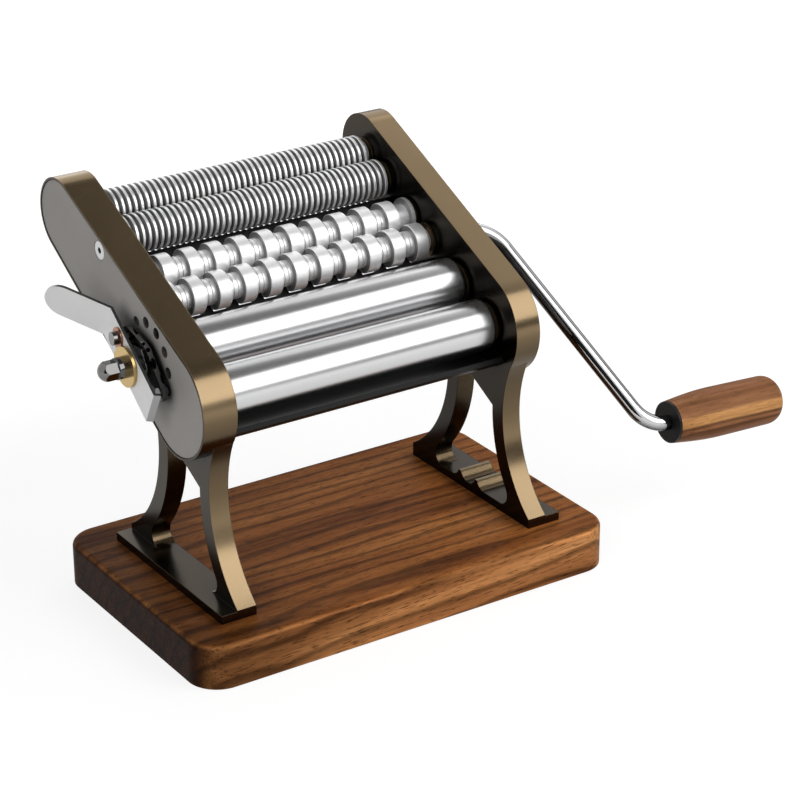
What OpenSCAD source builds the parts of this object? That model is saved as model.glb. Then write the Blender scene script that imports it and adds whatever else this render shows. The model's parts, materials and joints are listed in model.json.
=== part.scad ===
// Hand-cranked pasta machine on a wooden board.
// X runs along the rollers with the crank on +X, Y runs to the back and Z is up.
// The origin is the middle of the board's underside.

/* [Board] */
// Board length along the rollers
board_w = 237.5; // [224:0.5:300]
// Board depth, front to back
board_d = 144.5; // [130:0.5:200]
// Board thickness
board_t = 23; // [18:0.5:30]
// Radius of the board's corners seen from above
board_corner_r = 16; // [12:1:30]
// Rounding of the board's top edge
board_edge_r = 3; // [1:0.5:5]

/* [Side frames] */
// Clear width between the two side frames
frame_gap = 159; // [140:1:200]
// Thickness of the left cap, which holds the gears
cap_left_t = 18; // [17:0.5:22]
// Thickness of the right cap, on the crank side
cap_right_t = 14; // [13:0.5:18]
// Radius of the cap's lower, front end
cap_front_r = 27.2; // [26:0.1:30]
// Radius of the cap's upper, rear end
cap_rear_r = 19.7; // [18.5:0.1:22]
// Distance between the centres of the cap's two round ends
cap_len = 126.7; // [124:0.1:135]
// Slope of the cap above the horizontal
slope = 27.6; // [24:0.2:32]
// Height of the front roller's axis above the board's underside
front_z = 121.5; // [116:0.5:128]
// Thickness of the legs across the machine
leg_t = 10.4; // [8:0.1:12]
// Width of a leg seen from the side
leg_w = 9; // [7.5:0.1:11]
// Radius of the legs' curved outer edges
leg_r = 65; // [62:0.5:68]
// Width of the foot flange
foot_w = 19; // [15:0.5:22]
// Height of the foot flange
foot_h = 4.4; // [3.5:0.1:6]

/* [Rollers] */
// Radius of the smooth rollers
smooth_r = 13.2; // [12.5:0.1:13.4]
// Gap between the smooth rollers at the widest setting
nip_gap = 3.3; // [3:0.1:3.6]
// Radius of the wide cutters over their ridges
wide_r = 9.6; // [9.3:0.1:9.8]
// Pitch of the wide cutters' ridges
wide_pitch = 14.4; // [12:0.2:15]
// Radius of the fine cutters over their rings
fine_r = 10.2; // [9.9:0.1:10.4]
// Pitch of the fine cutters' rings
fine_pitch = 3.45; // [3.2:0.05:4]

/* [Adjuster] */
// Offset of the rear smooth roller's shaft in its turning hub
ecc = 1.25; // [0.8:0.05:1.3]
// Radius of the ring of index holes
index_r = 19.4; // [18.8:0.1:20]
// Number of thickness settings
settings = 6; // [4:1:6]
// Length of the lever's raised grip
lever_grip = 23.6; // [18:0.2:32]
// Width of the lever
lever_w = 18.5; // [12:0.5:20]

/* [Crank] */
// Radius of the crank's steel rod
rod_r = 4; // [3.6:0.1:4.2]
// Angle of the crank about its socket, from the back towards up
crank_angle = -133.4; // [-160:1:-120]
// Angle by which the arm leans out from the socket's axis
crank_bend = 72; // [60:1:85]
// Length of the arm's straight stretch
crank_arm = 105.6; // [80:0.2:106]
// Angle by which the handle leans out from the socket's axis
grip_lean = 2.8; // [0:0.1:6]
// Length of the handle
grip_len = 71; // [60:1:90]
// Radius of the handle at its thickest
grip_r = 13.3; // [12:0.1:14]

/* [Fits] */
// Radial clearance of a running shaft
run_gap = 0.05; // [0.03:0.01:0.08]
// Radial clearance of a pressed or screwed piece
seat_gap = 0.02; // [0.01:0.01:0.03]

/* [Hidden] */
$fn = 64;

bronze = [0.36, 0.29, 0.21];
steel = [0.75, 0.75, 0.76];
dark = [0.08, 0.08, 0.08];

// Small inset that keeps straight edges from running exactly tangent to round ends.
seam = 0.02;
front_y = -14;
xi = frame_gap / 2;
xl = xi + cap_left_t;
xr = xi + cap_right_t;
web = 6;
lip = 1.2;
rim = 4;
plate_gap = 0.3;
plate_t = 2.9;
plate_x = xl - plate_gap;
plate_in = plate_x - plate_t;
rplate_t = 2.7;
rplate_x = xr - plate_gap;
rplate_in = rplate_x - rplate_t;

// Distances up the slope from the front roller's axis.
wide_centre = 2 * wide_r - 1.3;
fine_centre = 2 * fine_r - 1.7;
ecc_rest = -15;
d_sr = 2 * smooth_r + nip_gap;
h_sr = ecc * sin(ecc_rest);
d_adj = d_sr - ecc * cos(ecc_rest);
tip_s = d_sr / 2 + 0.75;
tip_w = wide_centre / 2 + 1.3;
rear_margin = 2;
share = 0.5205;
slack = max(cap_len - rear_margin - d_sr - wide_centre - fine_centre, (tip_s + tip_w + 0.5) / share);
d_wf = d_sr + share * slack;
d_wr = d_wf + wide_centre;
d_ff = d_wr + (1 - share) * slack;
d_fr = d_ff + fine_centre;
groove = 3;
wide_floor = min(wide_r - groove, wide_centre - wide_r - 0.35);
fine_floor = min(fine_r - groove, fine_centre - fine_r - 0.3);
bead_w = 0.55;
bead_h = 0.4;
cutter_x = xi - 1.7;
smooth_x = xi - 1.3;
flange_t = 1;

// Journals and bushes: radius of the shaft, then of the bush, then of its flange.
j_rear = 5;
b_rear = 7.4;
f_rear = 8.4;
j_drive = 6;
b_drive = 8;
f_drive = 8.8;
j_sleft = 6;
b_sleft = 8.5;
f_sleft = 10.5;
j_sright = 7;
b_sright = 9.4;
f_sright = 11;
j_hub = 8;
b_hub = 10.4;
shaft_r = 5;
neck_r = 8;

// Crank sockets: round bores with a cross slot at the mouth.
sock_r = rod_r + run_gap;
sock_x = rplate_x + 1.8;
sock_len = 22;
pin_r = 1.5;
pin_x = sock_x - 2.6;
slot_gap = 0.15;

// Gears: twelve teeth each, three meshing pairs in the left cap.
teeth = 12;
gear_x0 = xi + web + 0.8;
gear_t = min(7, plate_in - gear_x0 - 0.9);
gear_x1 = gear_x0 + gear_t;
d_near = d_sr - 2 * ecc * cos(ecc_rest);

// Board, feet and bolts.
foot_z = board_t + foot_h;
foot_y0 = -53.5;
foot_y1 = 51;
bolt_x = xi + leg_t / 2;
bolt_y = 40;
bolt_r = 2.5;

// Adjuster stack, measured outwards from the left face plate.
hex_r = 9.8;
hub_end = 6;
stud_r = 3.2;
lever_o = 9.6;
lever_tilt = 5.1;
lever_t = 1.5;
lever_fold = 29;
lever_tail = 26.4;
arm_o = 2.2;
arm_t = 2.5;
washer_o = 11.5;
washer_t = 1.5;
nut_o = washer_o + washer_t;
nut_r = 5;
nut_len = 13.6;
nut_step = 4.4;
nut_seat_r = 5.4;
nut_dome = nut_r + 0.2;
rivet_r = 2.2;
rivet_head = [3.3, 2.8];
pin_d = 5;
index_gap = 0.3;
rivet = [15, -3.4];
screw_r = 2.5;
screw_len = 7;
screw_d = (d_wr + d_ff) / 2 - 4;
screw = [screw_d, cap_half(screw_d) - 6.8];

// Crank path in its own plane: along the axis, then out along the arm.
k_x1 = sock_x + 6.3;
k_r1 = 22;
k_r2 = 17.5;
k_p2 = [k_x1 + k_r1 * sin(crank_bend), k_r1 * (1 - cos(crank_bend))];
k_p3 = k_p2 + crank_arm * [cos(crank_bend), sin(crank_bend)];
k_p4 = k_p3 + k_r2 * [sin(crank_bend) - sin(grip_lean), cos(grip_lean) - cos(crank_bend)];
grip_x = 0.6;
bush_t = 1.4;
core_r = rod_r + 2;
sleeve = 2.2;
grip_r0 = 0.84 * grip_r;

// Half the cap's width at a distance up the slope.
function cap_half(d) = cap_front_r - (cap_front_r - cap_rear_r) * d / cap_len;

// Puts the children in the cap's own plane: x along the rollers, y up the slope, z square to it.
module on_slope() {
    translate([0, front_y, front_z]) rotate([slope, 0, 0]) children();
}

// Extrudes a shape drawn in the plane of y and z from x0 to x1.
module across(x0, x1) {
    translate([x0, 0, 0]) rotate([90, 0, 90]) linear_extrude(x1 - x0) children();
}

// A round bar along x.
module bar(r, x0, x1, fn = 64) {
    translate([x0, 0, 0]) rotate([0, 90, 0]) cylinder(r = r, h = x1 - x0, $fn = fn);
}

// Turns a profile of radius against x about the x axis.
module turned(fn = 96) {
    rotate([0, 90, 0]) rotate_extrude($fn = fn) children();
}

// A flat bar with two round ends of different radius, its first end at the origin, rising along z.
module round_bar(length, r0, r1, h) {
    cylinder(r = r0, h = h, $fn = 128);
    round_tail(length, r0, r1, h);
}

// The part of such a bar beyond its first round end.
module round_tail(length, r0, r1, h) {
    a = acos((r0 - r1) / length);
    q0 = (r0 - seam) * [cos(a), sin(a)];
    q1 = [length, 0] + (r1 - seam) * [cos(a), sin(a)];
    translate([length, 0, 0]) cylinder(r = r1, h = h, $fn = 128);
    linear_extrude(h) polygon([[0, 0], q0, q1, [q1[0], -q1[1]], [q0[0], -q0[1]]]);
}

// The cap's outline as a block from x0 to x1, drawn in by the inset.
module cap_block(x0, x1, inset = 0) {
    translate([x0, 0, 0]) rotate([90, 0, 90])
        round_bar(cap_len, cap_front_r - inset, cap_rear_r - inset, x1 - x0);
}

module hex(r, h) {
    rotate(30) cylinder(r = r, h = h, $fn = 6);
}

// Involute gear drawn about the origin: base radius, half angle at the base, tip and root radius.
function inv(rb, r) = let (a = acos(rb / r)) tan(a) * 180 / PI - a;
function half(r, rb, g) = r <= rb ? g : g - inv(rb, r);

module gear_outline(rb, g, ra, rr, phase) {
    step = 360 / teeth;
    rs = [rr, rb, rb + (ra - rb) * 0.25, rb + (ra - rb) * 0.5, rb + (ra - rb) * 0.75, ra];
    polygon([
        for (i = [0:teeth - 1], k = [0:11])
            let (r = rs[k < 6 ? k : 11 - k], s = k < 6 ? -1 : 1, a = phase + step * i + s * half(r, rb, g))
            r * [cos(a), sin(a)]
    ]);
}

// One gear of a pair: working distance, pressure angle there, backlash and tip radius.
module gear(dist, angle, slack, ra, phase, bore_r) {
    rw = dist / 2;
    rb = rw * cos(angle);
    tooth = (2 * PI * rw / teeth - slack) / 2;
    g = tooth / dist * 180 / PI + tan(angle) * 180 / PI - angle;
    across(-gear_x1, -gear_x0) difference() {
        gear_outline(rb, g, ra, dist - ra - 0.35, phase);
        circle(bore_r, $fn = 96);
    }
}

module fixed_gear(d, centre, phase, bore_r) {
    on_slope() translate([0, d, 0]) gear(centre, 24, 0.3, centre / 2 + 1.3, phase, bore_r + seat_gap);
}

// Board

module base_board() {
    color([0.36, 0.22, 0.12]) difference() {
        hull() for (sx = [-1, 1], sy = [-1, 1])
            translate([sx * (board_w / 2 - board_corner_r), sy * (board_d / 2 - board_corner_r), 0])
            rotate_extrude($fn = 96) {
                square([board_corner_r, board_t - board_edge_r]);
                square([board_corner_r - board_edge_r, board_t]);
                intersection() {
                    translate([board_corner_r - board_edge_r, board_t - board_edge_r])
                        circle(board_edge_r, $fn = 32);
                    square([board_corner_r, board_t]);
                }
            }
        for (sx = [-1, 1], sy = [-1, 1]) translate([sx * bolt_x, sy * bolt_y, 0]) {
            translate([0, 0, -1]) cylinder(r = bolt_r + 0.3, h = board_t + 2);
            translate([0, 0, -1]) cylinder(r = bolt_r * 2 + 0.6, h = 7);
        }
    }
}

module base_bolts() {
    color(steel) for (sx = [-1, 1], sy = [-1, 1]) translate([sx * bolt_x, sy * bolt_y, 0]) {
        translate([0, 0, 6]) cylinder(r = bolt_r, h = board_t - 6 + 8);
        difference() {
            translate([0, 0, 2]) cylinder(r = bolt_r * 2, h = 4);
            translate([0, 0, 1]) cylinder(r = 2.3, h = 3, $fn = 6);
        }
    }
}

// Side frames

waist_front = [-30, -43.5];
waist_back = [18.5, -35];
leg_front = [waist_front[0] - leg_r, front_z + waist_front[1]];
leg_back = [waist_back[0] + leg_r, front_z + waist_back[1]];
knee_z = 60;
hips = [[28, -3.5], [-14, 0], [-36, -9.5]];
arch = [-17.7, -40.4];
arch_front = 32.3;
arch_back = 57.7;
fil = 6;
fil_z = foot_z + fil;
fil_front = leg_front[0] + sqrt(pow(leg_r + leg_w + fil, 2) - pow(leg_front[1] - fil_z, 2));
fil_back = leg_back[0] - sqrt(pow(leg_r + leg_w + fil, 2) - pow(leg_back[1] - fil_z, 2));

// The space between the legs, with rounded corners on the foot.
module leg_opening() {
    top = front_z + arch[1];
    rise = tan(slope);
    mid_f = (leg_front + [fil_front, fil_z]) / 2;
    mid_b = (leg_back + [fil_back, fil_z]) / 2;
    difference() {
        union() {
            polygon([
                mid_f, [fil_front, fil_z], [fil_front, foot_z + seam], [fil_back, foot_z + seam],
                [fil_back, fil_z], mid_b, [arch[0] + arch_back, top + rise * arch_back],
                [arch[0] - arch_front, top - rise * arch_front]
            ]);
            translate([fil_front, fil_z]) circle(fil);
            translate([fil_back, fil_z]) circle(fil);
        }
        translate(leg_front) circle(leg_r + leg_w, $fn = 192);
        translate(leg_back) circle(leg_r + leg_w, $fn = 192);
    }
}

module leg_plate() {
    difference() {
        polygon(concat(
            [[foot_y0, board_t], [foot_y1, board_t], [foot_y1, knee_z]],
            [for (h = hips) [h[0], front_z + h[1]]],
            [[foot_y0, knee_z]]
        ));
        translate(leg_front) circle(leg_r, $fn = 192);
        translate(leg_back) circle(leg_r, $fn = 192);
        leg_opening();
    }
}

// Cross ridge on the right foot, which keeps a table clamp from sliding.
module foot_ridge(y) {
    difference() {
        translate([y - 5.5, foot_z - 1]) square([11, 5.2]);
        for (s = [-1, 1]) translate([y + s * 6.75, fil_z + seam]) circle(fil);
    }
}

// Holes in the inner wall that hold the tie rods, the guard and the combs from inside.
spigot = 4.8;
rod_d = [(d_wr + d_ff) / 2 - 0.5, (d_sr + d_wf) / 2 + 2];
rods = [for (d = rod_d) [d, 6.6 - cap_half(d)]];

module seat_cuts() {
    for (p = rods) translate([0, p[0], p[1]]) bar(3 + seat_gap, -1, 5);
    across(-1, 2) guard_section(0.05);
    for (c = combs) across(-1, 2) comb_spine(c, 0.05);
}

// One side frame for the +X side: cap, legs and foot.
module frame_blank(cap_t) {
    on_slope() cap_block(xi, xi + cap_t);
    across(xi, xi + leg_t) leg_plate();
    translate([xi, foot_y0, board_t]) cube([foot_w, foot_y1 - foot_y0, foot_h]);
}

module bolt_holes() {
    for (sy = [-1, 1]) translate([bolt_x, sy * bolt_y, board_t - 1]) cylinder(r = bolt_r + seat_gap, h = 9.4);
}

module left_side_frame() {
    color(bronze) mirror([1, 0, 0]) difference() {
        frame_blank(cap_left_t);
        on_slope() {
            cap_block(plate_in - seam, xl + 1, lip);
            difference() {
                union() cap_block(xi + web, plate_in, rim);
                translate([0, screw[0], screw[1]]) bar(4.6, xi, xl);
            }
            translate([0, screw[0], screw[1]]) bar(2.5 + seat_gap, plate_in - 7, xl);
            for (d = [d_wf, d_wr, d_ff, d_fr]) translate([0, d, 0]) bar(b_rear + seat_gap, xi - 1, xi + web + 1);
            bar(b_sleft + seat_gap, xi - 1, xi + web + 1);
            translate([0, d_adj, 0]) bar(neck_r + ecc + 0.5, xi - 1, xi + web + 1);
            translate([xi, 0, 0]) seat_cuts();
        }
        bolt_holes();
    }
}

module right_side_frame() {
    color(bronze) difference() {
        union() {
            frame_blank(cap_right_t);
            for (y = [-7.2, 7.3]) across(xi, xi + foot_w) foot_ridge(y);
        }
        on_slope() {
            cap_block(rplate_in - seam, xr + 1, lip);
            difference() {
                union() cap_block(xi + web, rplate_in, rim);
                translate([0, screw[0], screw[1]]) bar(4.6, xi, xr);
            }
            translate([0, screw[0], screw[1]]) bar(2.5 + seat_gap, xi + web, xr);
            for (d = [d_wr, d_fr]) translate([0, d, 0]) bar(b_rear + seat_gap, xi - 1, xi + web + 1);
            for (d = [d_wf, d_ff]) translate([0, d, 0]) bar(b_drive + seat_gap, xi - 1, xi + web + 1);
            bar(b_sright + seat_gap, xi - 1, xi + web + 1);
            translate([0, d_adj, 0]) bar(b_hub + seat_gap, xi - 1, xi + web + 1);
            translate([xi, 0, 0]) seat_cuts();
        }
        bolt_holes();
    }
}

module screw_sink(x, t) {
    translate([x - t, screw[0], screw[1]]) {
        bar(2.8, -1, t + 1);
        translate([t - 2.4, 0, 0]) rotate([0, 90, 0]) cylinder(r1 = 2.6, r2 = 5.1, h = 2.5);
    }
}

module left_face_plate() {
    color([0.54, 0.52, 0.5]) mirror([1, 0, 0]) on_slope() difference() {
        union() cap_block(plate_in, plate_x, lip + plate_gap);
        translate([0, d_adj, 0]) {
            bar(j_hub + run_gap, plate_in - 1, plate_x + 1);
            for (k = [1:settings]) rotate([210 - 30 * k, 0, 0]) translate([0, index_r, 0])
                bar(pin_d / 2 + index_gap, plate_in - 1, plate_x + 1, 48);
        }
        screw_sink(plate_x, plate_t);
    }
}

module right_face_plate() {
    color([0.54, 0.52, 0.5]) on_slope() difference() {
        union() cap_block(rplate_in, rplate_x, lip + plate_gap);
        bar(j_sright + 0.5, rplate_in - 1, rplate_x + 1);
        for (d = [d_wf, d_ff]) translate([0, d, 0]) bar(j_drive + 0.5, rplate_in - 1, rplate_x + 1);
        screw_sink(rplate_x, rplate_t);
    }
}

module plate_screw(x) {
    translate([x, screw[0], screw[1]]) difference() {
        union() {
            bar(screw_r, -screw_len, -2.2);
            translate([-2.4, 0, 0]) rotate([0, 90, 0]) cylinder(r1 = screw_r, r2 = 4.6, h = 2.1);
        }
        translate([-1.9, 0, 0]) rotate([0, 90, 0]) cylinder(r = 1.75, h = 3, $fn = 6);
    }
}

module face_plate_screws() {
    color(steel) {
        mirror([1, 0, 0]) on_slope() plate_screw(plate_x);
        on_slope() plate_screw(rplate_x);
    }
}

module tie_rods() {
    color(steel) on_slope() for (p = rods) translate([0, p[0], p[1]]) {
        bar(4, -xi, xi);
        bar(3, -xi - spigot, xi + spigot);
    }
}

// Curved dark guard under the front smooth roller.
guard_t = 2.5;
guard_r = smooth_r + 8.8;

module guard_section(extra = 0) {
    difference() {
        circle(guard_r + extra, $fn = 128);
        circle(guard_r - guard_t - extra, $fn = 128);
        for (a = [42, 300]) rotate(a - slope) translate([-2 * guard_r, 0]) square([4 * guard_r, 2 * guard_r]);
    }
}

module lower_guard() {
    color(dark) on_slope() across(-xi - 1.9, xi + 1.9) guard_section();
}

// Bushes

module bush(r, rb, rf) {
    difference() {
        union() {
            bar(rb, xi, xi + web);
            bar(rf, xi - flange_t, xi);
        }
        bar(r + run_gap, xi - 2, xi + web + 1);
    }
}

module left_bushes() {
    color([0.7, 0.5, 0.25]) mirror([1, 0, 0]) on_slope() {
        for (d = [d_wf, d_wr, d_ff, d_fr]) translate([0, d, 0]) bush(j_rear, b_rear, f_rear);
        bush(j_sleft, b_sleft, f_sleft);
    }
}

module right_bushes() {
    color([0.7, 0.5, 0.25]) on_slope() {
        for (d = [d_wr, d_fr]) translate([0, d, 0]) bush(j_rear, b_rear, f_rear);
        for (d = [d_wf, d_ff]) translate([0, d, 0]) bush(j_drive, b_drive, f_drive);
        bush(j_sright, b_sright, f_sright);
        translate([0, d_adj, 0]) bush(j_hub, b_hub, b_hub + 0.4);
    }
}

// Combs that lift the cut dough out of the grooves: axis, side of the gap, ridge radius, floor radius,
// pitch, first and last groove, tooth width.
wide_n = floor((cutter_x - 3.6) / wide_pitch);
fine_n = floor((cutter_x - 0.8) / fine_pitch);
fine_ring = fine_pitch / 2 - 0.13;
wide_ring = wide_pitch / 2 - 0.17;
combs = [
    [d_ff, 1, fine_r, fine_floor], [d_fr, -1, fine_r, fine_floor],
    [d_wf, 1, wide_r, wide_floor], [d_wr, -1, wide_r, wide_floor]
];
comb_t = 1.6;
comb_gap = 0.4;
comb_w = min(5, (d_ff - d_wr - comb_reach(combs[0]) - comb_reach(combs[3]) - 1) / 2);

function comb_reach(c) = sqrt(c[2] * c[2] - pow(c[3] + comb_gap, 2)) + 0.5;

module comb_spine(c, extra = 0) {
    d0 = c[0] - c[1] * (comb_reach(c) + comb_w / 2) - comb_w / 2;
    translate([d0 - extra, -c[3] - comb_gap - comb_t - extra]) square([comb_w + 2 * extra, comb_t + 2 * extra]);
}

module comb(c, pitch, first, last, width) {
    d1 = c[0] - c[1] * (comb_reach(c) + comb_w);
    d2 = c[0] - c[1] * comb_reach(c);
    d3 = c[0] + c[1] * 2.5;
    color(dark) on_slope() translate([0, 0, -c[3] - comb_gap - comb_t]) linear_extrude(comb_t)
        polygon(concat(
            [[-xi - 1.9, d1], [-xi - 1.9, d2]],
            [
                for (g = [first:last], k = [0:3])
                    [g * pitch + (k < 2 ? -1 : 1) * width / 2, k == 0 || k == 3 ? d2 : d3]
            ],
            [[xi + 1.9, d2], [xi + 1.9, d1]]
        ));
}

module fine_front_comb() {
    comb(combs[0], fine_pitch, -fine_n + 0.5, fine_n - 0.5, fine_pitch - fine_ring - 0.6);
}

module fine_rear_comb() {
    comb(combs[1], fine_pitch, -fine_n + 1, fine_n - 1, fine_pitch - fine_ring - 0.6);
}

module wide_front_comb() {
    comb(combs[2], wide_pitch, -wide_n + 0.5, wide_n - 0.5, wide_pitch - wide_ring - 0.8);
}

module wide_rear_comb() {
    comb(combs[3], wide_pitch, -wide_n + 1, wide_n - 1, wide_pitch - wide_ring - 0.8);
}

// Rollers

// Outline of a ringed cutter: ring centres first to last, core, ring radius and the journals at both ends.
module cutter(first, last, pitch, ring, r, core, jl, jr, x_end, ends, beads = 0) {
    c = 0.25;
    w = ring / 2;
    turned() polygon(concat(
        [[0, -gear_x1 - 0.3], [jl, -gear_x1 - 0.3], [jl, -cutter_x]],
        ends > 0 ? [[r, -cutter_x], [r, -cutter_x + ends], [core, -cutter_x + ends]] : [[core, -cutter_x]],
        [
            for (i = [first:last], k = [0:(i < last ? 5 + 3 * max(0, beads - 1) : 5)])
                let (x = i * pitch, b = x + w + (pitch - ring) * ceil((k - 5) / 3) / max(1, beads), j = (k - 6) % 3)
                k == 0 ? [core, x - w] : k == 1 ? [r - c, x - w] : k == 2 ? [r, x - w + c]
                : k == 3 ? [r, x + w - c] : k == 4 ? [r - c, x + w] : k == 5 ? [core, x + w]
                : [core - (j == 1 ? bead_h : 0), b + (j - 1) * bead_w / 2]
        ],
        ends > 0 ? [[core, cutter_x - ends], [r, cutter_x - ends], [r, cutter_x]] : [[core, cutter_x]],
        [[jr, cutter_x], [jr, x_end], [0, x_end]]
    ));
}

module socket_cut() {
    bar(sock_r, sock_x - sock_len, sock_x + 1, 96);
    rotate([crank_angle, 0, 0]) translate([pin_x - pin_r - 0.2, -2 * j_sright, -pin_r - slot_gap])
        cube([sock_len, 4 * j_sright, 2 * (pin_r + slot_gap)]);
}

module fine_front_cutter() {
    color(steel) on_slope() translate([0, d_ff, 0]) difference() {
        cutter(-fine_n, fine_n, fine_pitch, fine_ring, fine_r, fine_floor, j_rear, j_drive, sock_x, 0);
        rotate([-slope, 0, 0]) socket_cut();
    }
}

module fine_rear_cutter() {
    color(steel) on_slope() translate([0, d_fr, 0])
        cutter(-fine_n + 0.5, fine_n - 0.5, fine_pitch, fine_ring, fine_r, fine_floor, j_rear, j_rear,
            xi + web + 1.5, 0);
}

module wide_front_cutter() {
    color(steel) on_slope() translate([0, d_wf, 0]) difference() {
        cutter(-wide_n, wide_n, wide_pitch, wide_ring, wide_r, wide_floor, j_rear, j_drive, sock_x, 0, 3);
        rotate([-slope, 0, 0]) socket_cut();
    }
}

module wide_rear_cutter() {
    room = cutter_x - (wide_n + 0.5) * wide_pitch + wide_ring / 2;
    color(steel) on_slope() translate([0, d_wr, 0])
        cutter(-wide_n + 0.5, wide_n - 0.5, wide_pitch, wide_ring, wide_r, wide_floor, j_rear, j_rear,
            xi + web + 1.5, room > 0.5 ? room : 0, 3);
}

// Outline of a smooth roller's end: quarter round of radius f.
function round_end(r, x, f, s) = [for (k = [0:6]) let (a = s > 0 ? 15 * k : 90 - 15 * k)
    [r - f + f * cos(a), s * (x - f + f * sin(a))]];

module smooth_front_roller() {
    color(steel) on_slope() difference() {
        turned() polygon(concat(
            [[0, -gear_x1 - 0.3], [j_sleft, -gear_x1 - 0.3], [j_sleft, -smooth_x]],
            round_end(smooth_r, smooth_x, 2.5, -1),
            round_end(smooth_r, smooth_x, 2.5, 1),
            [[j_sright, smooth_x], [j_sright, sock_x], [0, sock_x]]
        ));
        rotate([-slope, 0, 0]) socket_cut();
    }
}

bush_r = 8.6;
bush_len = 12;

module smooth_rear_roller() {
    color(steel) on_slope() translate([0, d_sr, h_sr]) turned() polygon(concat(
        [[shaft_r + 0.6, -gear_x1 - 0.2], [neck_r, -gear_x1 - 0.2], [neck_r, -smooth_x]],
        round_end(smooth_r, smooth_x, 2.5, -1),
        round_end(smooth_r, smooth_x, 2.5, 1),
        [[bush_r + run_gap, smooth_x], [bush_r + run_gap, -smooth_x + 3], [shaft_r + 0.6, -smooth_x + 3]]
    ));
}

module fine_front_gear() {
    color(steel) fixed_gear(d_ff, fine_centre, 0, j_rear);
}

module fine_rear_gear() {
    color(steel) fixed_gear(d_fr, fine_centre, 15, j_rear);
}

module wide_front_gear() {
    color(steel) fixed_gear(d_wf, wide_centre, 0, j_rear);
}

module wide_rear_gear() {
    color(steel) fixed_gear(d_wr, wide_centre, 15, j_rear);
}

module smooth_front_gear() {
    color(steel) on_slope() gear(d_near, 20, 1.45, tip_s, 0, j_sleft + seat_gap);
}

module smooth_rear_gear() {
    color(steel) on_slope() translate([0, d_sr, h_sr])
        gear(d_near, 20, 1.45, tip_s, 12.6, neck_r + seat_gap);
}

// Adjuster

module roller_bushes() {
    color([0.7, 0.5, 0.25]) on_slope() translate([0, d_sr, h_sr])
        for (x = [-smooth_x + 3.4, smooth_x - bush_len]) difference() {
            bar(bush_r, x, x + bush_len);
            bar(shaft_r + run_gap, x - 1, x + bush_len + 1);
        }
}

module eccentric_shaft() {
    color(steel) on_slope() translate([0, d_sr, h_sr]) bar(shaft_r, -plate_x - 3.5, xi + web + 1.6, 96);
}

// Puts the children on the adjuster's axis: x up the slope, y down across it, z outwards from the plate.
module on_adjuster() {
    on_slope() translate([-plate_x, d_adj, 0]) rotate([-90, 0, 0]) rotate([0, -90, 0]) children();
}

module adjuster_hub() {
    color(steel) difference() {
        on_adjuster() {
            translate([0, 0, -plate_t - 0.2]) cylinder(r = j_hub, h = plate_t + 1.2, $fn = 96);
            translate([0, 0, 0.4]) hex(hex_r, hub_end - 0.4);
            translate([0, 0, hub_end - 1]) cylinder(r = stud_r, h = 16);
        }
        on_slope() translate([0, d_sr, h_sr]) bar(shaft_r + seat_gap, -plate_x - 4, -gear_x1, 96);
    }
}

module right_eccentric() {
    color(steel) on_slope() difference() {
        translate([0, d_adj, 0]) bar(j_hub, xi - 0.6, xi + web + 1.6, 96);
        translate([0, d_sr, h_sr]) bar(shaft_r + seat_gap, xi - 2, xi + web + 3, 96);
    }
}

module brass_washer() {
    color([0.8, 0.68, 0.38]) on_adjuster() translate([0, 0, washer_o]) difference() {
        cylinder(r = 10, h = washer_t);
        translate([0, 0, -1]) cylinder(r = stud_r + seat_gap, h = washer_t + 2);
    }
}

module acorn_nut() {
    color(steel) on_adjuster() translate([0, 0, nut_o]) difference() {
        union() {
            cylinder(r = nut_seat_r, h = nut_step);
            intersection() {
                translate([0, 0, nut_step - 0.5]) hex(nut_r, nut_len - nut_step + 0.5);
                union() {
                    cylinder(r = nut_dome - 0.05, h = nut_len - nut_dome);
                    translate([0, 0, nut_len - nut_dome]) sphere(r = nut_dome, $fn = 96);
                }
            }
        }
        translate([0, 0, -1]) cylinder(r = stud_r + seat_gap, h = 10.5);
    }
}

module index_arm() {
    color(steel) on_adjuster() difference() {
        translate([0, 0, arm_o]) union() {
            rotate(180) round_bar(index_r, 11.6, 4.6, arm_t);
            rotate(atan2(rivet[1], rivet[0])) round_tail(norm(rivet), 11.6, 4.6, arm_t);
        }
        translate([0, 0, arm_o - 1]) hex(hex_r + 0.1, arm_t + 2);
        translate([-index_r, 0, arm_o - 1]) cylinder(r = pin_d / 2 + seat_gap, h = arm_t + 2);
        rivet_axis() translate([0, 0, -12]) cylinder(r = rivet_r + seat_gap, h = 20);
    }
}

module index_pin() {
    color(steel) on_adjuster() translate([-index_r, 0, 0.3]) cylinder(r = pin_d / 2, h = arm_o + arm_t - 0.3, $fn = 48);
}

// The lever is a folded strip: flat part, raised grip and a short tail turned in towards the plate.
module on_lever() {
    translate([0, 0, lever_o]) rotate([0, lever_tilt, 0]) children();
}

module rivet_axis() {
    on_lever() translate([rivet[0], rivet[1], 0]) children();
}

// A point on the lever's side outline: along the flat, then its offset from the middle of the sheet.
function fold_point(x, o, bend) = [x, 0] + o * [sin(bend / 2), cos(bend / 2)] / cos(bend / 2);

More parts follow.
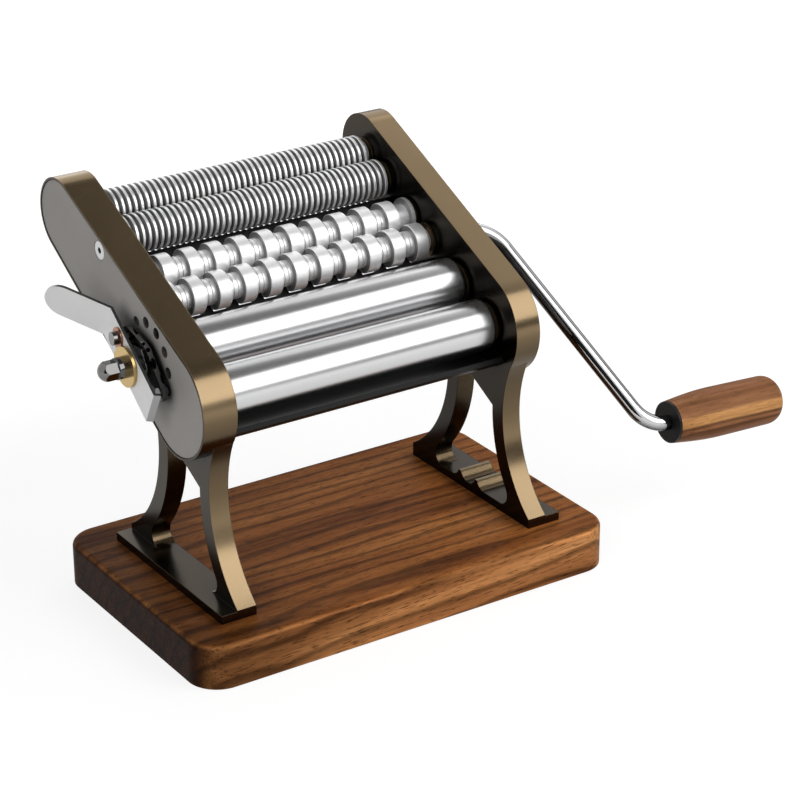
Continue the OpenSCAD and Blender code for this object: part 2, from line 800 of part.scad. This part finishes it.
module adjuster_lever() {
    t = lever_t / 2;
    bend = -46;
    tail_bend = 72;
    grip_end = [lever_fold, 0] + lever_grip * [cos(bend), -sin(bend)];
    tail_end = [-lever_tail, 0] - 3 * [cos(tail_bend), sin(tail_bend)];
    grip_n0 = t * [sin(bend), cos(bend)];
    tail_n0 = t * [-sin(tail_bend), cos(tail_bend)];
    color([0.73, 0.73, 0.73]) on_adjuster() on_lever() difference() {
        union() {
            translate([0, lever_w / 2, 0]) rotate([90, 0, 0]) linear_extrude(lever_w) polygon([
                tail_end - tail_n0, fold_point(-lever_tail, -t, -tail_bend), fold_point(lever_fold, -t, bend),
                grip_end - grip_n0, grip_end + grip_n0, fold_point(lever_fold, t, bend),
                fold_point(-lever_tail, t, -tail_bend), tail_end + tail_n0
            ]);
            translate([grip_end[0], 0, grip_end[1]]) rotate([0, bend, 0])
                cylinder(r = lever_w / 2 - seam, h = lever_t, center = true, $fn = 96);
        }
        translate([0, 0, -3]) cylinder(r = stud_r + 0.5, h = 6);
        translate([rivet[0], rivet[1], -3]) cylinder(r = rivet_r + seat_gap, h = 6);
    }
}

module lever_rivet() {
    color(steel) on_adjuster() intersection() {
        rivet_axis() {
            translate([0, 0, -7]) cylinder(r = rivet_r, h = 9);
            translate([0, 0, lever_t / 2 + 1]) cylinder(r = rivet_head[0], h = rivet_head[1]);
        }
        translate([-2 * index_r, -2 * index_r, arm_o]) cube(4 * index_r);
    }
}

module rivet_washer() {
    color([0.72, 0.42, 0.28]) on_adjuster() rivet_axis() translate([0, 0, lever_t / 2]) difference() {
        cylinder(r = 5.2, h = 1);
        translate([0, 0, -1]) cylinder(r = rivet_r + seat_gap, h = 3);
    }
}

// Crank, plugged into the front wide cutter

module on_crank() {
    on_slope() translate([0, d_wf, 0]) rotate([crank_angle - slope, 0, 0]) children();
}

module crank_rod() {
    color(steel) on_crank() difference() {
        union() {
            bar(rod_r, sock_x - sock_len + 1, k_x1, 48);
            translate([k_x1, k_r1, 0]) rotate(-90) rotate_extrude(angle = crank_bend, $fn = 96)
                translate([k_r1, 0]) circle(rod_r + 0.04, $fn = 48);
            translate([k_p2[0], k_p2[1], 0]) rotate(crank_bend) bar(rod_r, 0, crank_arm, 48);
            translate([k_p4[0] + k_r2 * sin(grip_lean), k_p4[1] - k_r2 * cos(grip_lean), 0]) rotate(90 + grip_lean)
                rotate_extrude(angle = crank_bend - grip_lean, $fn = 96)
                translate([k_r2, 0]) circle(rod_r + 0.04, $fn = 48);
            translate([k_p4[0], k_p4[1], 0]) rotate(grip_lean) bar(rod_r, -0.4, grip_x + grip_len * 0.72, 48);
        }
        translate([pin_x, 0, 0]) rotate([90, 0, 0]) cylinder(r = pin_r + seat_gap, h = 20, center = true);
    }
}

module crank_pin() {
    color(steel) on_crank() translate([pin_x, 0, 0]) rotate([90, 0, 0])
        cylinder(r = pin_r, h = 2 * j_drive - 1, center = true, $fn = 32);
}

module on_grip() {
    on_crank() translate([k_p4[0], k_p4[1], 0]) rotate(grip_lean) translate([grip_x, 0, 0]) children();
}

module grip_collar() {
    color(steel) on_grip() difference() {
        bar(core_r - 0.4, bush_t + sleeve + 0.4, bush_t + sleeve + 2.4);
        bar(rod_r + seat_gap, 0, grip_len);
    }
}

module grip_bush() {
    color(dark) on_grip() difference() {
        union() {
            bar(grip_r0 - 0.2, 0, bush_t);
            bar(core_r - seat_gap, bush_t, bush_t + sleeve);
        }
        bar(rod_r + run_gap, -1, grip_len);
    }
}

// Handle outline: swells towards its far end, which is rounded off.
function grip_radius(u) = u < 0.4
    ? grip_r0 + (grip_r - grip_r0) * sin(90 * u / 0.4)
    : u < 0.86 ? grip_r - 0.3 * (u - 0.4) / 0.46
    : (grip_r - 0.3) * pow(max(0, 1 - pow((u - 0.86) / 0.14, 2.4)), 0.46);

module crank_grip() {
    l = grip_len - bush_t;
    color([0.4, 0.2, 0.1]) on_grip() difference() {
        turned() polygon(concat(
            [[0, bush_t]],
            [for (i = [0:8]) let (u = 0.4 * i / 8) [grip_radius(u), bush_t + l * u]],
            [for (i = [0:11]) let (u = 0.86 + 0.14 * sin(90 * i / 12)) [grip_radius(u), bush_t + l * u]],
            [[0, bush_t + l]]
        ));
        bar(core_r, bush_t - 1, bush_t + sleeve + 3.6);
        bar(rod_r + 0.3, bush_t - 1, grip_len * 0.72 + 2);
    }
}

base_board();
base_bolts();
left_side_frame();
right_side_frame();
left_face_plate();
right_face_plate();
face_plate_screws();
tie_rods();
lower_guard();
left_bushes();
right_bushes();
fine_front_comb();
fine_rear_comb();
wide_front_comb();
wide_rear_comb();
fine_front_cutter();
fine_front_gear();
fine_rear_cutter();
fine_rear_gear();
wide_front_cutter();
wide_front_gear();
wide_rear_cutter();
wide_rear_gear();
smooth_front_roller();
smooth_front_gear();
smooth_rear_roller();
smooth_rear_gear();
roller_bushes();
eccentric_shaft();
adjuster_hub();
right_eccentric();
brass_washer();
acorn_nut();
index_arm();
index_pin();
adjuster_lever();
lever_rivet();
rivet_washer();
crank_rod();
crank_pin();
grip_collar();
grip_bush();
crank_grip();
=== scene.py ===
"""Looks of the hand-cranked pasta machine, in the CAD frame, in metres."""
import json
import math

import bpy
from mathutils import Matrix, Vector

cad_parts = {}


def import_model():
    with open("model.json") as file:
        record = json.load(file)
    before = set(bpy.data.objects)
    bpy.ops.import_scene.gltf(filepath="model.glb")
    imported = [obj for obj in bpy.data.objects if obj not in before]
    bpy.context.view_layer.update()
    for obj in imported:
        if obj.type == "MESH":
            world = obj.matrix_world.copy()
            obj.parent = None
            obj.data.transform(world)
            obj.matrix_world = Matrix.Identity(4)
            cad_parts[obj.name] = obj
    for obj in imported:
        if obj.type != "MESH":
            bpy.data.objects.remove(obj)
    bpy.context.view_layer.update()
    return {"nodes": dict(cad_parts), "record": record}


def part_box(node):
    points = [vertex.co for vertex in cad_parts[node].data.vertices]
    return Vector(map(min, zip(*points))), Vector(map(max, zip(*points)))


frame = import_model()
nodes = frame["nodes"]
scene = bpy.context.scene


# Short ways to build node trees


def fresh_tree(owner):
    """Gives a material or a world an empty node tree."""
    owner.use_nodes = True
    owner.node_tree.nodes.clear()
    return owner.node_tree


def add_node(tree, kind, **settings):
    """Adds a node and sets its own properties."""
    node = tree.nodes.new(kind)
    for key, value in settings.items():
        setattr(node, key, value)
    return node


def fill(node, **values):
    """Sets inputs of a node by name, with spaces written as underscores."""
    for key, value in values.items():
        node.inputs[key.replace("_", " ")].default_value = value
    return node


def grey(value):
    return (value, value, value)


# Most of a noise texture lies between these values
noise_low, noise_high = 0.3, 0.7
# The lines of brushed metal reach a little further
lines_low, lines_high = 0.25, 0.75
# Sockets of a Mix node that mixes colours
mix_first, mix_second, mix_result = 6, 7, 2


class Shader:
    """One material and the layers that it is made of."""

    def __init__(self, name):
        self.mat = bpy.data.materials.new(name)
        self.tree = fresh_tree(self.mat)
        self.out = self.add("ShaderNodeOutputMaterial")
        self.bsdf = self.add("ShaderNodeBsdfPrincipled")
        self.link(self.bsdf, "BSDF", self.out, "Surface")
        self.coord = self.add("ShaderNodeTexCoord")

    def add(self, kind, **settings):
        return add_node(self.tree, kind, **settings)

    def link(self, source, output, target, socket):
        self.tree.links.new(source.outputs[output], target.inputs[socket])

    def set(self, **values):
        """Sets inputs of the material's own shader."""
        fill(self.bsdf, **values)

    def math(self, operation, source, output, value=None):
        """One sum on a node's output, with a fixed second value where the sum needs one."""
        node = self.add("ShaderNodeMath", operation=operation)
        self.link(source, output, node, 0)
        if value is not None:
            node.inputs[1].default_value = value
        return node

    def place(self, scale, rotation=(0, 0, 0), shift=(0, 0, 0)):
        """Object coordinates in metres, turned and moved and then scaled."""
        turn = fill(self.add("ShaderNodeMapping", vector_type="POINT"), Rotation=rotation, Location=shift)
        self.link(self.coord, "Object", turn, "Vector")
        size = fill(self.add("ShaderNodeMapping", vector_type="POINT"), Scale=scale)
        self.link(turn, "Vector", size, "Vector")
        return size

    def axes(self, source, output):
        """The three parts of a vector."""
        node = self.add("ShaderNodeSeparateXYZ")
        self.link(source, output, node, "Vector")
        return node

    def noise(self, where, detail=4.0, rough=0.5, distort=0.0):
        """Noise whose size is set by the scale of its coordinates."""
        node = self.add("ShaderNodeTexNoise")
        fill(node, Scale=1.0, Detail=detail, Roughness=rough, Distortion=distort)
        self.link(where, "Vector", node, "Vector")
        return node

    def ramp(self, source, output, stops, interpolation="LINEAR"):
        """Colours by a node's output, from stops of a position and a colour."""
        node = self.add("ShaderNodeValToRGB")
        node.color_ramp.interpolation = interpolation
        while len(node.color_ramp.elements) < len(stops):
            node.color_ramp.elements.new(0.5)
        for stop, (position, colour) in zip(node.color_ramp.elements, stops):
            stop.position = position
            stop.color = (*colour, 1)
        self.link(source, output, node, "Fac")
        return node

    def spread(self, source, output, low, high, from_low=0.0, from_high=1.0):
        """Maps one range of a node's output to another."""
        node = self.add("ShaderNodeMapRange")
        fill(node, From_Min=from_low, From_Max=from_high, To_Min=low, To_Max=high)
        self.link(source, output, node, "Value")
        return node

    def rough(self, source, low, high, from_low=noise_low, from_high=noise_high):
        """Roughness that follows a noise."""
        share = self.spread(source, "Fac", low, high, from_low, from_high)
        self.link(share, "Result", self.bsdf, "Roughness")

    def bump(self, source, strength, distance):
        """Relief that follows a noise, on top of any relief that is there."""
        node = fill(self.add("ShaderNodeBump"), Strength=strength, Distance=distance)
        self.link(source, "Fac", node, "Height")
        if self.bsdf.inputs["Normal"].is_linked:
            self.link(self.bsdf.inputs["Normal"].links[0].from_node, "Normal", node, "Normal")
        self.link(node, "Normal", self.bsdf, "Normal")

    def soften(self, radius):
        """Rounds sharp edges in the light without changing the mesh."""
        node = fill(self.add("ShaderNodeBevel", samples=4), Radius=radius)
        self.link(node, "Normal", self.bsdf, "Normal")

    def colour(self, layers):
        """Multiplies layers of colour into the base colour."""
        base = layers[0].outputs["Color"]
        for layer in layers[1:]:
            both = self.add("ShaderNodeMix", data_type="RGBA", blend_type="MULTIPLY")
            fill(both, Factor=1.0)
            self.tree.links.new(base, both.inputs[mix_first])
            self.tree.links.new(layer.outputs["Color"], both.inputs[mix_second])
            base = both.outputs[mix_result]
        self.tree.links.new(base, self.bsdf.inputs["Base Color"])

    def mottle(self, scale, colour, depth):
        """A colour that varies softly by the share depth."""
        patch = self.noise(self.place((scale, scale, scale)), detail=3.0)
        low = tuple(c * (1 - depth) for c in colour)
        high = tuple(min(1, c * (1 + depth)) for c in colour)
        return self.ramp(patch, "Fac", [(noise_low, low), (noise_high, high)])

    def across(self, stops):
        """A layer by how far a face looks along X, whichever way."""
        facing = self.axes(self.add("ShaderNodeNewGeometry"), "True Normal")
        return self.ramp(self.math("ABSOLUTE", facing, "X"), "Value", stops)

    def upward(self):
        """How far a face looks up, as the Z of its normal."""
        return self.axes(self.add("ShaderNodeNewGeometry"), "Normal")

    def painted_occlusion(self, reach, deep, darkest, clear):
        """Painted shade: a layer that is dark where other surfaces stand close around, in holes and recesses.
        """
        depth = fill(self.add("ShaderNodeAmbientOcclusion", samples=6), Distance=reach)
        return self.ramp(depth, "AO", [(deep, grey(darkest)), (clear, grey(1.0))])

    def facing_shade(self, down, level, up):
        """Painted shade by facing: one share of the colour on faces that look down, one sideways and one up.

        Its stops lie between straight down, 0, and straight up, 1."""
        share = self.spread(self.upward(), "Z", 0.0, 1.0, -1.0, 1.0)
        return self.ramp(share, "Result", [(0.35, grey(down)), (0.5, grey(level)), (0.66, grey(up))])

    def low_face_shade(self, height, darkest):
        """Painted shade: a layer that is dark on level faces below a height, such as the tops of the feet."""
        below = self.math("LESS_THAN", self.axes(self.coord, "Object"), "Z", height)
        level = self.spread(self.upward(), "Z", 0.0, 1.0, 0.9, 0.99)
        both = self.add("ShaderNodeMath", operation="MULTIPLY")
        self.link(below, "Value", both, 0)
        self.link(level, "Result", both, 1)
        return self.ramp(both, "Value", [(0.0, grey(1.0)), (1.0, grey(darkest))])


# Kinds of material

# Depth of relief and rounding of edges
fine_relief = 0.0001
wood_relief = 0.0002
sheet_edge = 0.0003
# Scales of grain and of larger patches, about in waves per metre, as all scales are
wear_patch = 26
paint_patch, paint_grain = 30, (900, 900, 900)
sheet_patch, sheet_grain = 60, (1500, 1500, 1500)
# Paint, moulded plastic and sheet vary by this much in roughness
paint_vary = 0.06
# Faces that look along X get painted shade between these shares of looking along X
side_shade_from, side_shade_to = 0.75, 0.95


def brushed(name, colour, rough, grain, vary=0.07, worn=0.05, bump=0.05, edge=0.0, metal=1.0, occlusion_shade=None,
            low_face_shade=None, side_shade=None, facing_shade=None):
    """Metal with fine lines along one direction and soft larger patches of wear.

    Faces that look along X, such as the sides of turned ridges, keep the given share of the colour, as
    painted shade."""
    shader = Shader(name)
    shader.set(Metallic=metal)
    lines = shader.noise(shader.place(grain), detail=3.0, rough=0.6)
    layers = [shader.mottle(wear_patch, colour, worn)]
    # Painted shade on level faces low down
    if low_face_shade:
        layers.append(shader.low_face_shade(**low_face_shade))
    # Painted shade on faces that look down or sideways
    if facing_shade:
        layers.append(shader.facing_shade(**facing_shade))
    # Painted shade on faces that look along X
    if side_shade is not None:
        layers.append(shader.across([(side_shade_from, grey(1.0)), (side_shade_to, grey(side_shade))]))
    # Painted shade where other surfaces stand close around
    if occlusion_shade:
        layers.append(shader.painted_occlusion(**occlusion_shade))
    shader.colour(layers)
    shader.rough(lines, rough - vary, rough + vary, lines_low, lines_high)
    if edge:
        shader.soften(edge)
    if bump:
        shader.bump(lines, bump, fine_relief)
    return shader.mat


def faced(name, colour, shaded_edge_colour, rough):
    """Stamped sheet: pale faces towards the side, with painted shade on the edges."""
    shader = Shader(name)
    shader.set(Metallic=0.1)
    # The sheet's edges get painted shade
    sides = shader.across([(0.30, shaded_edge_colour), (0.45, colour)])
    shader.colour([sides, shader.mottle(sheet_patch, grey(0.97), 0.03)])
    fine = shader.noise(shader.place(sheet_grain), detail=2.0)
    shader.rough(fine, rough - paint_vary, rough + paint_vary)
    shader.soften(sheet_edge)
    return shader.mat


def plain(name, colour, rough, speck=0.15, metallic=0.0, bump=0.08, occlusion_shade=None, shine=0.5):
    """Painted or moulded surface with a fine texture and slight unevenness."""
    shader = Shader(name)
    shader.set(Metallic=metallic, Specular_IOR_Level=shine)
    fine = shader.noise(shader.place(paint_grain), detail=2.0)
    layers = [shader.mottle(paint_patch, colour, speck)]
    # Painted shade where other surfaces stand close around
    if occlusion_shade:
        layers.append(shader.painted_occlusion(**occlusion_shade))
    shader.colour(layers)
    shader.rough(fine, rough - paint_vary, rough + paint_vary)
    shader.bump(fine, bump, fine_relief)
    return shader.mat


def growth_rings(shader, lean, stops, shift, period, warp):
    """A layer of rings about an axis along X, with a slow sway. The shift brings the axis to the origin."""
    axes = shader.axes(shader.place((1, 1, 1), lean, shift), "Vector")
    flat = shader.add("ShaderNodeCombineXYZ")
    for axis in ("Y", "Z"):
        shader.link(axes, axis, flat, axis)
    radius = shader.add("ShaderNodeVectorMath", operation="LENGTH")
    shader.link(flat, "Vector", radius, 0)
    sway = shader.noise(shader.place((4, 22, 22), lean, shift), detail=4.0, rough=0.55)
    bent = shader.math("MULTIPLY_ADD", sway, "Fac", period * warp)
    shader.link(radius, "Value", bent, 2)
    ring = shader.math("FRACT", shader.math("DIVIDE", bent, "Value", period), "Value")
    return shader.ramp(ring, "Value", stops, "EASE")


def wood(name, lean, bands, rings, gloss, fibre=0.7, pore=0.35, faces=None, end_grain_and_shade=None, along=None):
    """Oiled timber with its grain along X: soft bands, growth rings, fibres and open pores.

    The layer by facing up is painted light: lighter fronts and a painted highlight on the rounded edge.
    The layer by facing along the grain darkens end grain and adds painted shade; the layer by X is painted
    shade."""
    shader = Shader(name)
    soft = shader.noise(shader.place((4, 70, 70), lean), detail=5.0, rough=0.6, distort=0.3)
    strands = shader.noise(shader.place((22, 620, 620), lean), detail=6.0, rough=0.7)
    specks = shader.noise(shader.place((150, 1500, 1500), lean), detail=2.0)
    layers = [
        shader.ramp(soft, "Fac", bands, "EASE"),
        growth_rings(shader, lean, **rings),
        shader.ramp(strands, "Fac", [(0.32, grey(fibre)), (0.64, grey(1.06))]),
        shader.ramp(specks, "Fac", [(0.33, grey(pore)), (0.43, grey(1.0))]),
    ]
    # Painted light by how far a face looks up
    if faces:
        layers.append(shader.ramp(shader.upward(), "Z", faces))
    # Darker end grain, deepened with painted shade
    if end_grain_and_shade:
        layers.append(shader.across(end_grain_and_shade))
    # Painted shade, darker towards the low end of X
    if along:
        half = along["half"]
        share = shader.spread(shader.axes(shader.coord, "Object"), "X", 0.0, 1.0, -half, half)
        layers.append(shader.ramp(share, "Result", along["stops"]))
    shader.colour(layers)
    shader.rough(strands, gloss + 0.12, gloss - 0.06)
    shader.set(Specular_IOR_Level=0.04)
    shader.bump(specks, 0.15, wood_relief)
    shader.bump(strands, 0.10, wood_relief)
    return shader.mat


# The looks, by the record's material slots and a few more for single nodes

board_half, _, board_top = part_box("base_board")[1]
# The tops of the frames' feet lie below this height, where the bronze gets painted shade
foot_limit = board_top + 0.0075

looks = {
    "bronze": brushed(
        "bronze_satin", (0.25, 0.18, 0.103), rough=0.22, grain=(200, 5000, 5000), vary=0.04, bump=0.008,
        # Painted shade in recesses and on faces near other parts
        edge=0.0005, occlusion_shade=dict(reach=0.12, deep=0.40, darkest=0.06, clear=0.85),
        # Painted shade on the flat sides of the frames
        # Painted shade on the tops of the feet
        low_face_shade=dict(height=foot_limit, darkest=0.2), side_shade=0.22,
        # Painted shade on faces that look down or sideways
        facing_shade=dict(down=0.4, level=0.6, up=1.0)),
    "grey_plate": plain(
        "plate_grey", (0.38, 0.36, 0.34), rough=0.55, speck=0.04, metallic=0.1, bump=0.04, shine=0.15,
        # Painted shade in the index holes and around the hub
        occlusion_shade=dict(reach=0.008, deep=0.58, darkest=0.01, clear=0.93)),
    "bright_steel": brushed(
        "bright_steel", (0.86, 0.86, 0.87), rough=0.45, grain=(200, 1500, 1500), metal=0.3,
        # Painted shade in narrow recesses
        occlusion_shade=dict(reach=0.003, deep=0.5, darkest=0.02, clear=0.9)),
    "black_guard": plain("guard_black", grey(0.006), rough=0.40, shine=0.2),
    "bearing_bronze": brushed("bearing_bronze", (0.16, 0.11, 0.06), rough=0.38, grain=(1500, 300, 300)),
    "comb_plastic": plain("comb_plastic", grey(0.012), rough=0.45),
    "roller_steel": brushed(
        "roller_steel", (0.60, 0.60, 0.605), rough=0.24, grain=(4000, 6, 6), vary=0.015, worn=0.01, bump=0.0),
    "wide_steel": brushed(
        "wide_steel", grey(0.97), rough=0.40, grain=(5000, 6, 6), vary=0.03, worn=0.01, bump=0.0,
        # Painted shade on the sides of the ridges
        metal=0.7, side_shade=0.3),
    "fine_steel": brushed(
        "fine_steel", grey(0.97), rough=0.34, grain=(5000, 6, 6), vary=0.03, worn=0.01, bump=0.0,
        # Painted shade in the grooves between the rings
        # Painted shade on the sides of the rings
        metal=0.65, side_shade=0.45, occlusion_shade=dict(reach=0.002, deep=0.42, darkest=0.1, clear=0.72)),
    "gear_steel": brushed("gear_steel", grey(0.02), rough=0.35, grain=(120, 1500, 1500)),
    "hub_chrome": brushed(
        "hub_chrome", (0.30, 0.30, 0.31), rough=0.14, grain=(200, 1500, 1500), vary=0.04, edge=0.0004),
    "brass": brushed(
        "brass", (0.50, 0.35, 0.14), rough=0.24, grain=(200, 1200, 1200), vary=0.06, edge=0.0003),
    "chrome": brushed(
        "chrome", (0.60, 0.60, 0.61), rough=0.06, grain=(60, 900, 900), vary=0.02, worn=0.02, bump=0.0,
        # Painted shade on the crank where other parts stand close, mostly its lower side
        occlusion_shade=dict(reach=0.12, deep=0.5, darkest=0.03, clear=0.8)),
    # A darker copy of chrome for the nut and the rivet, as painted shade
    "shaded_chrome": brushed(
        "shaded_chrome", (0.17, 0.167, 0.163), rough=0.09, grain=(60, 900, 900), vary=0.03, edge=0.0003),
    # The lever's edges get painted shade
    "lever_sheet": faced("lever_sheet", grey(0.93), grey(0.03), rough=0.5),
    "copper": brushed("copper", (0.28, 0.13, 0.075), rough=0.25, grain=(200, 1200, 1200), vary=0.06),
    "walnut": wood(
        "walnut",
        lean=(0.0, 0.035, 0.02),
        bands=[(0.32, (0.17, 0.050, 0.012)), (0.44, (0.31, 0.100, 0.024)), (0.54, (0.42, 0.145, 0.036)),
               (0.68, (0.54, 0.205, 0.055))],
        rings=dict(
            stops=[(0.0, grey(1.0)), (0.50, grey(0.97)), (0.84, grey(0.42)), (0.92, grey(0.62)),
                   (1.0, grey(1.0))],
            shift=(0.0, 0.22, 0.12), period=0.0085, warp=3.2),
        gloss=0.45,
        # Painted light on the front faces and a painted highlight on the rounded top edge
        faces=[(0.0, (1.9, 2.35, 3.3)), (0.3, (2.1, 2.6, 3.6)), (0.6, (3.0, 3.7, 5.0)),
               (0.9, (1.3, 1.4, 1.6)), (1.0, grey(1.0))],
        # Darker end grain, deepened with painted shade
        end_grain_and_shade=[(0.55, grey(1.0)), (0.95, (0.10, 0.065, 0.04))],
        # Painted shade towards the left end of the board, where the left frame shades it
        along=dict(half=board_half, stops=[(0.0, grey(0.34)), (0.3, grey(0.8)), (0.6, grey(1.0))])),
    # The stripes of the handle run along its own axis, which leans from X
    "handle_wood": wood(
        "handle_wood",
        lean=(0.0, -0.0355, 0.0336),
        bands=[(0.30, (0.26, 0.105, 0.045)), (0.5, (0.44, 0.19, 0.085)), (0.70, (0.60, 0.28, 0.13))],
        rings=dict(
            stops=[(0.0, grey(0.95)), (0.14, grey(0.95)), (0.18, grey(0.5)), (0.22, grey(1.1)),
                   (0.27, grey(0.42)), (0.31, (1.45, 1.55, 1.25)), (0.43, (1.5, 1.6, 1.3)),
                   (0.47, grey(0.9)), (0.62, grey(0.82)), (0.66, grey(0.6)), (0.72, grey(0.85)),
                   (1.0, grey(0.8))],
            shift=(0.0, 0.1012, 0.0348), period=0.0333, warp=0.1),
        gloss=0.42, fibre=0.62, pore=0.75),
}
looks_by_name = {
    "wide_front_cutter": "wide_steel",
    "wide_rear_cutter": "wide_steel",
    "fine_front_cutter": "fine_steel",
    "fine_rear_cutter": "fine_steel",
    # The nut and the rivet take the darker copy of chrome, as painted shade
    "acorn_nut": "shaded_chrome",
    "lever_rivet": "shaded_chrome",
}
for part in frame["record"]["subparts"]:
    look = looks[looks_by_name.get(part["node"], part["material_slot"])]
    materials = nodes[part["node"]].data.materials
    if not materials:
        materials.append(look)
    for slot in range(len(materials)):
        materials[slot] = look


# Stage: pale floor, dim walls, soft boxes and the camera of the photograph

floor_half = 4.0
# The floor lies this far under the part, so that the two don't share a plane
floor_gap = 0.0004
# The white of the floor is dimmer near the part, where the lamps add to it, and full beyond
dim_near, dim_far, dim_share = 0.22, 0.55, 0.82
# The soft boxes aim at the middle of the part
aim_at = Vector((0, 0, 0.12))
# Soft light of the room, for the rays that don't show the white background
room_colour, room_strength = (0.95, 0.97, 1.0, 1), 0.10
# The fitted camera: sizes in millimetres, then the turn and the shift from the part's frame to its own,
# in which Y points down and Z ahead
sensor_width, lens = 36.0, 121.137
camera_turn = Vector((1.93022, -0.582861, 0.372379))
camera_shift = Vector((-0.031125, 0.085760, 1.365664))


def by_ray(tree, lit, shown, out):
    """Shows one shader to camera, glossy and transmission rays, and the other to all other rays."""
    path = tree.nodes.new("ShaderNodeLightPath")
    total = path.outputs["Is Camera Ray"]
    for ray in ("Is Glossy Ray", "Is Transmission Ray"):
        either = add_node(tree, "ShaderNodeMath", operation="MAXIMUM")
        tree.links.new(total, either.inputs[0])
        tree.links.new(path.outputs[ray], either.inputs[1])
        total = either.outputs["Value"]
    mix = tree.nodes.new("ShaderNodeMixShader")
    tree.links.new(total, mix.inputs[0])
    tree.links.new(lit.outputs[0], mix.inputs[1])
    tree.links.new(shown.outputs[0], mix.inputs[2])
    tree.links.new(mix.outputs[0], out.inputs["Surface"])


def floor_material():
    """Pale floor that shows as white with a faint shadow near the part."""
    mat = bpy.data.materials.new("stage_floor")
    tree = fresh_tree(mat)
    out = tree.nodes.new("ShaderNodeOutputMaterial")
    coord = tree.nodes.new("ShaderNodeTexCoord")
    away = add_node(tree, "ShaderNodeVectorMath", operation="LENGTH")
    tree.links.new(coord.outputs["Object"], away.inputs[0])
    fade = tree.nodes.new("ShaderNodeMapRange")
    fill(fade, From_Min=dim_near, From_Max=dim_far, To_Min=dim_share, To_Max=1.0)
    tree.links.new(away.outputs["Value"], fade.inputs["Value"])
    white = fill(tree.nodes.new("ShaderNodeEmission"), Color=(1, 1, 1, 1))
    tree.links.new(fade.outputs["Result"], white.inputs["Strength"])
    shadow = fill(tree.nodes.new("ShaderNodeBsdfDiffuse"), Color=(*grey(0.3), 1))
    shown = tree.nodes.new("ShaderNodeAddShader")
    tree.links.new(white.outputs[0], shown.inputs[0])
    tree.links.new(shadow.outputs[0], shown.inputs[1])
    pale = fill(tree.nodes.new("ShaderNodeBsdfDiffuse"), Color=(*grey(0.45), 1))
    by_ray(tree, pale, shown, out)
    return mat


def sheet(name, corners, material):
    """One flat face of the stage."""
    mesh = bpy.data.meshes.new(name)
    mesh.from_pydata(corners, [], [(0, 1, 2, 3)])
    mesh.materials.append(material)
    obj = bpy.data.objects.new(name, mesh)
    scene.collection.objects.link(obj)
    return obj


def floor():
    """Square floor under the part."""
    r = floor_half
    obj = sheet("floor", [(-r, -r, 0), (r, -r, 0), (r, r, 0), (-r, r, 0)], floor_material())
    obj.location.z = -floor_gap


def wall(name, x, start, end, height, strength):
    """Dim wall across X between two places on Y, which polished metal mirrors behind the soft boxes."""
    mat = bpy.data.materials.new(name)
    tree = fresh_tree(mat)
    out = tree.nodes.new("ShaderNodeOutputMaterial")
    dim = fill(tree.nodes.new("ShaderNodeEmission"), Strength=strength)
    tree.links.new(dim.outputs[0], out.inputs["Surface"])
    obj = sheet(name, [(x, start, 0), (x, end, 0), (x, end, height), (x, start, height)], mat)
    obj.visible_camera = False


def softbox(name, towards, distance, size, radiance, mirrored=True):
    """Light panel in one direction from the part, by the brightness of its face, unseen by the camera."""
    aim = Vector(towards).normalized()
    light = bpy.data.lights.new(name, "AREA")
    light.shape = "RECTANGLE"
    light.size, light.size_y = size
    light.energy = radiance * math.pi * size[0] * size[1]
    obj = bpy.data.objects.new(name, light)
    obj.location = aim_at + aim * distance
    obj.rotation_euler = (-aim).to_track_quat("-Z", "Y").to_euler()
    obj.visible_camera = False
    obj.visible_glossy = mirrored
    scene.collection.objects.link(obj)


def world():
    """White background and a little light from the room."""
    scene.world = bpy.data.worlds.new("studio")
    tree = fresh_tree(scene.world)
    out = tree.nodes.new("ShaderNodeOutputWorld")
    shown = fill(tree.nodes.new("ShaderNodeBackground"), Color=(1, 1, 1, 1), Strength=1.0)
    room = fill(tree.nodes.new("ShaderNodeBackground"), Color=room_colour, Strength=room_strength)
    by_ray(tree, room, shown, out)


def camera():
    """The camera of the photograph."""
    cam = bpy.data.cameras.new("camera")
    cam.sensor_width = sensor_width
    cam.lens = lens
    to_camera = Matrix.Rotation(camera_turn.length, 3, camera_turn.normalized())
    right, down, ahead = to_camera
    axes = Matrix((right, -down, -ahead)).transposed()
    obj = bpy.data.objects.new("camera", cam)
    obj.matrix_world = Matrix.Translation(-(to_camera.transposed() @ camera_shift)) @ axes.to_4x4()
    scene.collection.objects.link(obj)
    scene.camera = obj


floor()
wall("right_wall", x=1.9, start=-4.0, end=4.0, height=8.0, strength=0.12)
wall("left_wall", x=-1.9, start=-4.0, end=-0.7, height=3.8, strength=0.02)
world()
camera()
softbox("front", towards=(0.50, -0.66, 0.56), distance=1.3, size=(1.1, 1.05), radiance=2.5)
softbox("rear", towards=(0.49, 0.70, 0.52), distance=1.4, size=(1.25, 1.05), radiance=0.95)
softbox("right_top", towards=(0.76, 0.2, 0.62), distance=1.4, size=(1.0, 1.0), radiance=0.75)
softbox("left", towards=(-0.80, -0.45, 0.40), distance=1.3, size=(1.1, 1.1), radiance=2.1, mirrored=False)

scene.view_settings.view_transform = "Standard"
